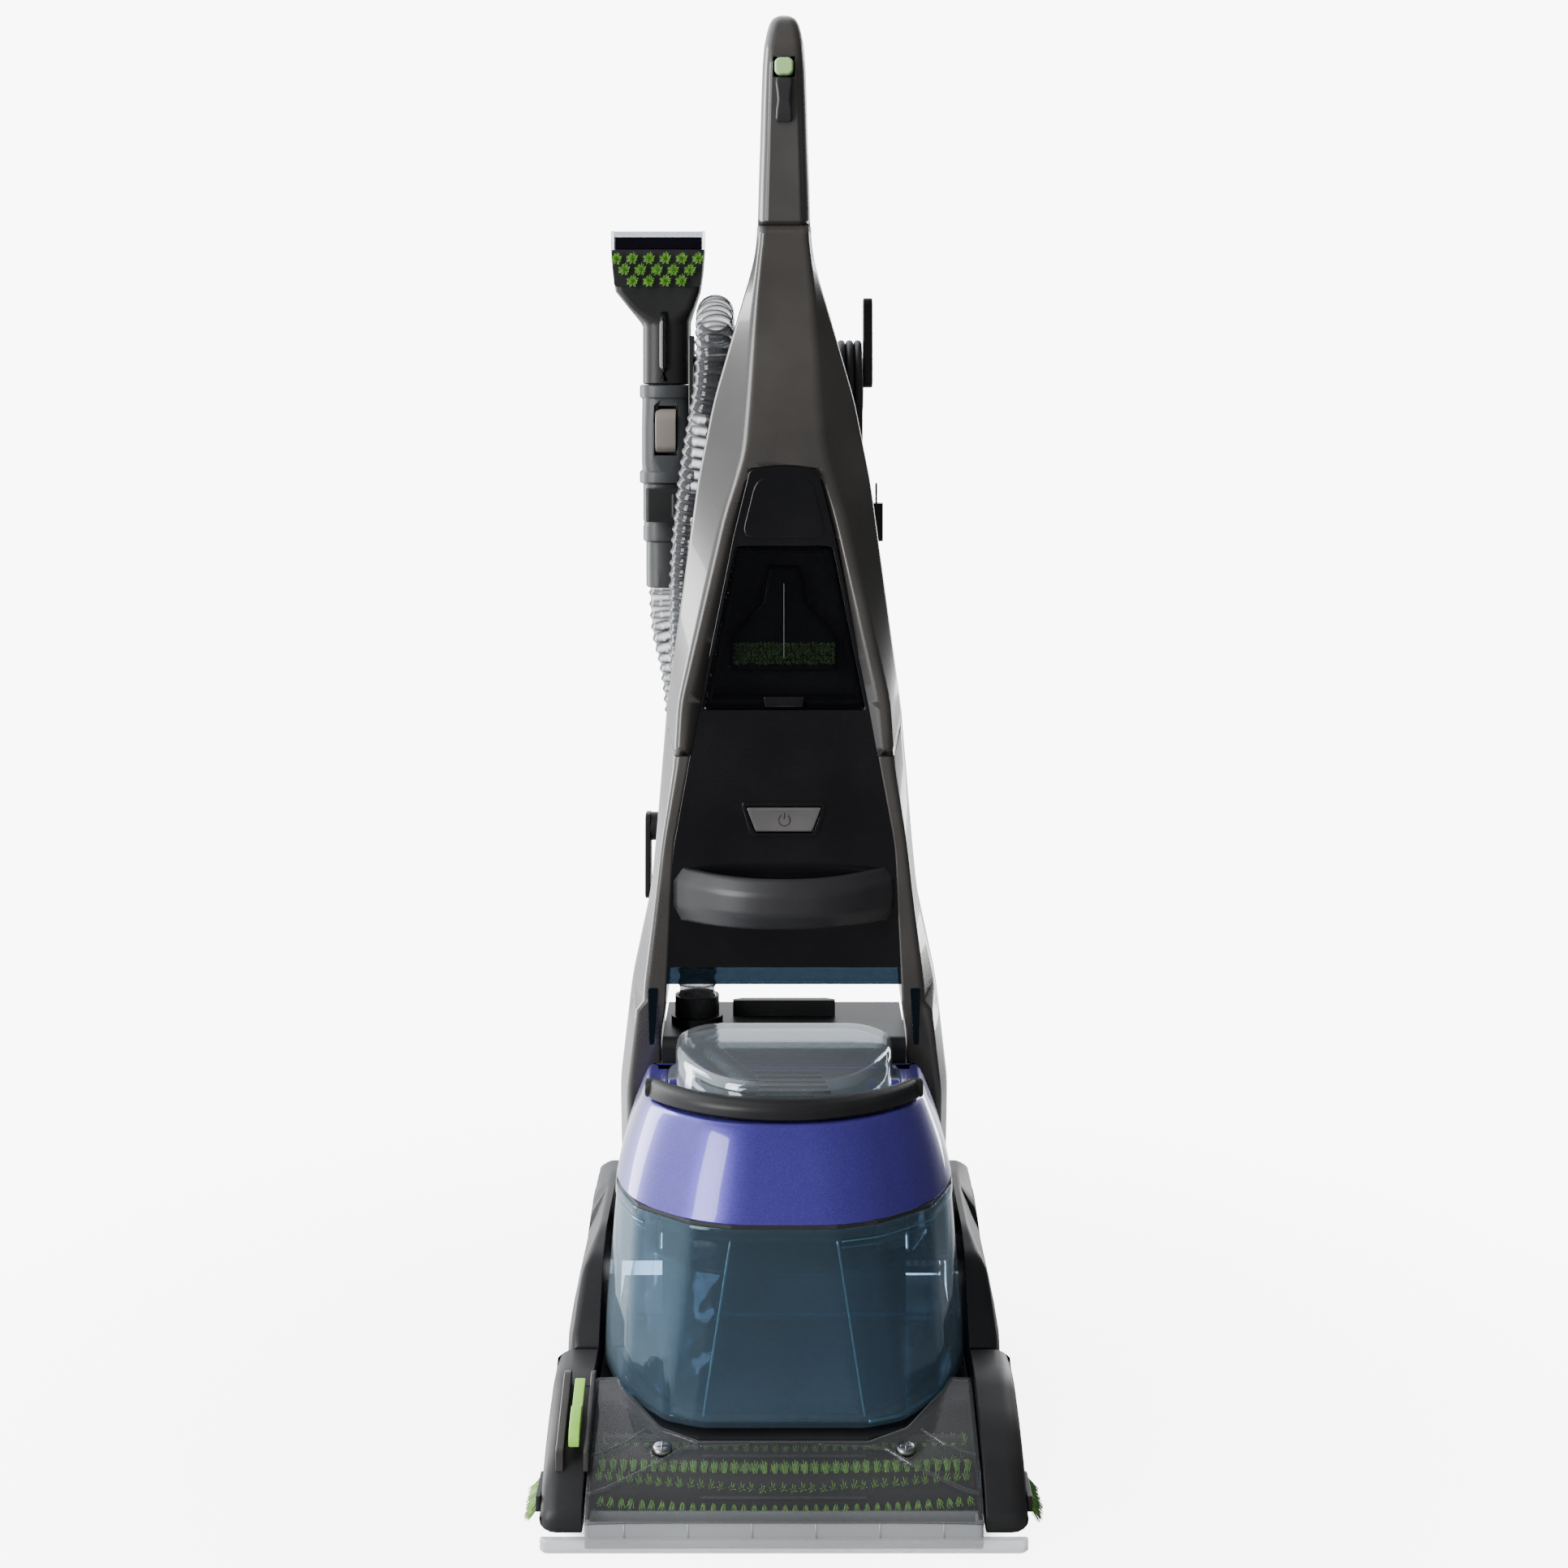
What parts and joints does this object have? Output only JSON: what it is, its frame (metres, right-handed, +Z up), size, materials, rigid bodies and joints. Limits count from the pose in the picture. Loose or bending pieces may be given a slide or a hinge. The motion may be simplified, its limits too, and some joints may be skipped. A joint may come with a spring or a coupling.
{
  "type": "upright carpet cleaner",
  "caption": "Upright carpet cleaner with a removable water tank, twin brush rolls under a clear hood, reclining handle body, stowed hose wand and wound power cord.",
  "frame": {"origin": "centre of the machine's box on the floor, without the hose and power cord", "axes": "+Z up, the front (brush hood and tank) faces -Y, +X is to the machine's left hand side as it drives, the right in a front view"},
  "size_m": [0.361, 0.4826, 1.1],
  "materials": {
    "black_plastic": "moulded black plastic, fine grain",
    "charcoal_plastic": "charcoal plastic, satin",
    "gunmetal": "dark gunmetal grey plastic, satin gloss",
    "gunmetal_dark": "dark gunmetal grey plastic, satin gloss",
    "gloss_black": "polished black plastic",
    "satin_black": "satin black plastic",
    "smoke_clear": "clear smoked polycarbonate",
    "frost_clear": "clear plastic with a light frost",
    "smoke_dark": "dark smoked clear plastic",
    "smoke_blue": "dark blue smoked clear plastic",
    "screw_steel": "zinc plated screws in clear bosses",
    "green_bristle": "green nylon bristles",
    "green_plastic": "green plastic",
    "green_trigger": "soft green plastic",
    "roll_black": "black plastic roll set with green tufts",
    "motor_black": "black motor casing",
    "belt_rubber": "black rubber",
    "axle_steel": "turned steel",
    "wheel_black": "black wheel with a soft tread",
    "tank_blue": "clear blue-grey plastic",
    "bladder_film": "crinkled clear film",
    "purple_pearl": "pearl purple",
    "lid_clear": "clear plastic",
    "hose_clear": "clear corrugated hose with a dark spiral",
    "float_white": "white plastic",
    "button_grey": "dark grey plastic, satin",
    "wand_black": "matte charcoal plastic",
    "wand_trigger": "warm grey plastic",
    "cord_black": "black rubber cord",
    "plug_black": "black rubber plug with steel blades"
  },
  "bodies": {
    "base": {"base_chassis": "black_plastic", "base_housing": "black_plastic", "left_fender": "black_plastic", "right_fender": "black_plastic", "left_end_cap": "charcoal_plastic", "right_end_cap": "charcoal_plastic", "brush_hood": "smoke_clear", "suction_nozzle": "frost_clear", "hood_screws": "screw_steel", "edge_brushes": "green_bristle", "brush_motor": "motor_black", "drive_belt": "belt_rubber", "vacuum_motor": "motor_black", "water_pump": "motor_black", "spray_bar": "black_plastic", "wheel_axles": "axle_steel", "pivot_pins": "axle_steel", "hose_collar": "gloss_black"},
    "upright": {"left_rail": "gunmetal", "right_rail": "gunmetal", "lower_back": "black_plastic", "upper_shell": "gunmetal", "upper_back": "black_plastic", "handle_shell": "gunmetal", "handle_grip": "gunmetal_dark", "storage_bin": "black_plastic", "upholstery_tool": "satin_black", "fascia": "gloss_black", "carry_handle": "satin_black", "smoke_band": "smoke_blue", "hose_hooks": "black_plastic", "wand_body": "wand_black", "accessory_hose": "hose_clear", "base_hose": "hose_clear", "cord_lead": "cord_black", "cord_hank": "cord_black", "plug": "plug_black", "strain_relief": "cord_black"},
    "tank": {"tank_body": "tank_blue", "bladder": "bladder_film"},
    "lid": {"tank_lid": "purple_pearl", "lid_window": "lid_clear", "lid_hose": "hose_clear", "lid_gasket": "belt_rubber"},
    "bail": {"tank_handle": "satin_black"},
    "float": {"float_valve": "float_white"},
    "front_roll": {"front_brush_roll": "roll_black"},
    "rear_roll": {"rear_brush_roll": "roll_black"},
    "pulley": {"motor_pulley": "motor_black"},
    "impeller": {"impeller": "motor_black"},
    "left_wheel": {"left_wheel": "wheel_black"},
    "right_wheel": {"right_wheel": "wheel_black"},
    "pedal": {"recline_pedal": "charcoal_plastic"},
    "selector": {"mode_selector": "green_plastic"},
    "cover": {"storage_cover": "smoke_dark"},
    "trigger": {"spray_trigger": "green_trigger"},
    "button": {"power_button": "button_grey"},
    "wand_trigger": {"wand_trigger": "wand_trigger"},
    "cord_hook": {"cord_hook": "black_plastic"},
    "stain_tool": {"stain_tool": "gloss_black"}
  },
  "joints": [
    {"name": "upright_recline", "type": "hinge", "parent": "base", "child": "upright", "pos_m": [0, 0.135, 0.1], "axis": [-1, 0, 0], "range_deg": [0, 55], "deforming": ["base_hose"]},
    {"name": "tank_removal", "type": "slide", "parent": "base", "child": "tank", "axis": [0, -0.8, 0.6], "range_m": [0, 0.25]},
    {"name": "lid_lift", "type": "slide", "parent": "tank", "child": "lid", "axis": [0, 0, 1], "range_m": [0, 0.055]},
    {"name": "tank_handle_swing", "type": "hinge", "parent": "lid", "child": "bail", "pos_m": [0, -0.058, 0.268], "axis": [-1, 0, 0], "range_deg": [0, 90]},
    {"name": "float_rise", "type": "slide", "parent": "tank", "child": "float", "axis": [0, 0, 1], "range_m": [0, 0.02]},
    {"name": "front_roll_spin", "type": "hinge", "parent": "base", "child": "front_roll", "pos_m": [0, -0.186, 0.0215], "axis": [1, 0, 0], "continuous": true},
    {"name": "rear_roll_spin", "type": "hinge", "parent": "base", "child": "rear_roll", "pos_m": [0, -0.14, 0.0215], "axis": [1, 0, 0], "continuous": true},
    {"name": "pulley_spin", "type": "hinge", "parent": "base", "child": "pulley", "pos_m": [0.148, -0.09, 0.034], "axis": [1, 0, 0], "continuous": true},
    {"name": "impeller_spin", "type": "hinge", "parent": "base", "child": "impeller", "pos_m": [0, 0.128, 0.102], "axis": [0, 0, 1], "continuous": true},
    {"name": "left_wheel_spin", "type": "hinge", "parent": "base", "child": "left_wheel", "pos_m": [-0.151, 0.178, 0.057], "axis": [1, 0, 0], "continuous": true},
    {"name": "right_wheel_spin", "type": "hinge", "parent": "base", "child": "right_wheel", "pos_m": [0.151, 0.178, 0.057], "axis": [1, 0, 0], "continuous": true},
    {"name": "pedal_press", "type": "hinge", "parent": "base", "child": "pedal", "pos_m": [0.117, 0.202, 0.0365], "axis": [-1, 0, 0], "range_deg": [0, 7], "stiffness_Nm_per_rad": 0.4, "springref_deg": -11.46},
    {"name": "mode_select", "type": "slide", "parent": "base", "child": "selector", "axis": [0, 0.9406, 0.3396], "range_m": [0, 0.011]},
    {"name": "cover_swing", "type": "hinge", "parent": "upright", "child": "cover", "pos_m": [0, 0.045, 0.668], "axis": [-1, 0, 0], "range_deg": [0, 80]},
    {"name": "trigger_squeeze", "type": "slide", "parent": "upright", "child": "trigger", "axis": [0, 1, 0], "range_m": [0, 0.004], "stiffness_N_per_m": 600, "springref_m": -0.001},
    {"name": "button_press", "type": "slide", "parent": "upright", "child": "button", "axis": [0, 1, 0], "range_m": [0, 0.003], "stiffness_N_per_m": 600, "springref_m": -0.001},
    {"name": "wand_trigger_squeeze", "type": "slide", "parent": "upright", "child": "wand_trigger", "axis": [0, 1, 0], "range_m": [0, 0.003], "stiffness_N_per_m": 600, "springref_m": -0.001},
    {"name": "cord_hook_turn", "type": "hinge", "parent": "upright", "child": "cord_hook", "pos_m": [0.05, 0.176, 0.793], "axis": [1, 0, 0], "range_deg": [0, 180]},
    {"name": "stain_tool_pull", "type": "slide", "parent": "upright", "child": "stain_tool", "axis": [0, 0, 1], "range_m": [0, 0.06]}
  ],
  "couplings": [
    {"joint": "rear_roll_spin", "follows": "front_roll_spin", "ratio": 1},
    {"joint": "pulley_spin", "follows": "front_roll_spin", "ratio": 1}
  ]
}
